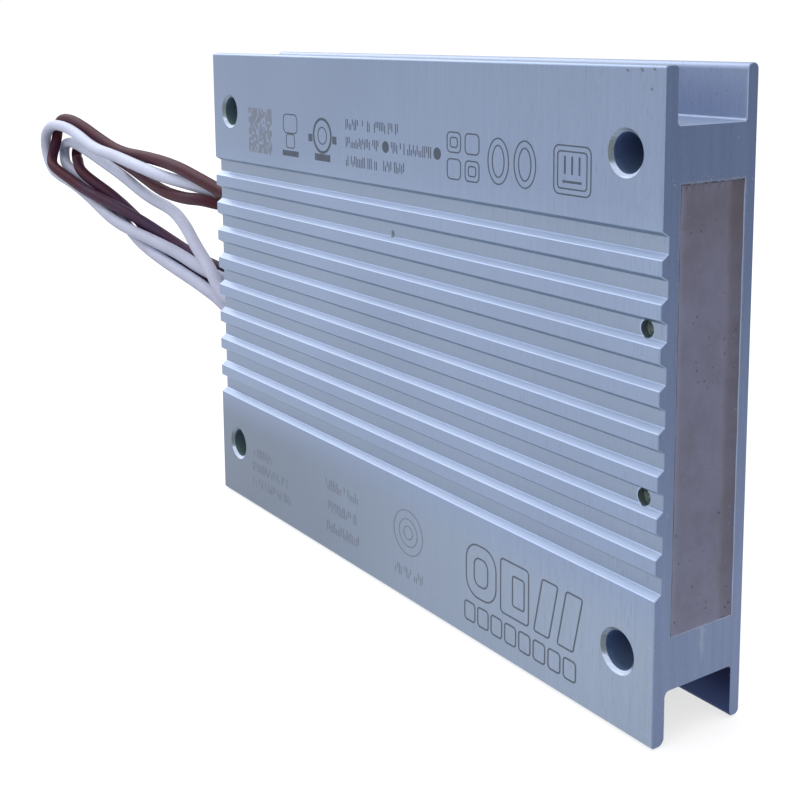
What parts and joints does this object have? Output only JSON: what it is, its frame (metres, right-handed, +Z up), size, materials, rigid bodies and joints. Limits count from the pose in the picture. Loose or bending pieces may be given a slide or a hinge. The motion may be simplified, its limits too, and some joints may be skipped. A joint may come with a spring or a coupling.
{
  "type": "braking resistor",
  "caption": "Flat braking resistor in a ribbed aluminium housing with flanged edges, mounting holes, cast end seals and two insulated connection leads wound into a loose hank.",
  "frame": {"origin": "middle of the housing's footprint, at the height of the lower flange tips", "axes": "+X along the housing, away from the end with the leads; +Y from the ribbed front to the flat mounting back; +Z up"},
  "size_m": [0.2166, 0.015, 0.08],
  "materials": {
    "housing_aluminium": "satin extruded aluminium with fine brush marks",
    "potting_resin": "cast filled resin, porous and slightly uneven",
    "dam_board": "plain pressed board",
    "mica_sheet": "layered mica, faintly glossy",
    "filler_cement": "compacted sand and cement",
    "resistance_wire": "drawn nickel-chrome wire",
    "crimp_metal": "tinned brass",
    "lead_brown": "smooth silicone insulation",
    "lead_white": "smooth silicone insulation",
    "sleeve_plastic": "moulded collar",
    "sleeve_metal": "tinned copper"
  },
  "bodies": {
    "root": {"housing": "housing_aluminium", "end_potting_left": "potting_resin", "end_potting_right": "potting_resin", "end_dam_left": "dam_board", "end_dam_right": "dam_board", "sheet_front": "mica_sheet", "sheet_back": "mica_sheet", "sheet_bottom": "mica_sheet", "sheet_top": "mica_sheet", "filler": "filler_cement", "card_front": "mica_sheet", "card_back": "mica_sheet", "card_divider": "mica_sheet", "winding_front": "resistance_wire", "winding_back": "resistance_wire", "wire_link": "crimp_metal", "crimp_brown": "crimp_metal", "crimp_white": "crimp_metal", "lead_root_brown": "lead_brown", "lead_root_white": "lead_white", "lead_brown": "lead_brown", "lead_white": "lead_white", "sleeve_brown": "sleeve_plastic", "sleeve_white": "sleeve_plastic", "sleeve_pin_brown": "sleeve_metal", "sleeve_pin_white": "sleeve_metal"}
  },
  "joints": []
}
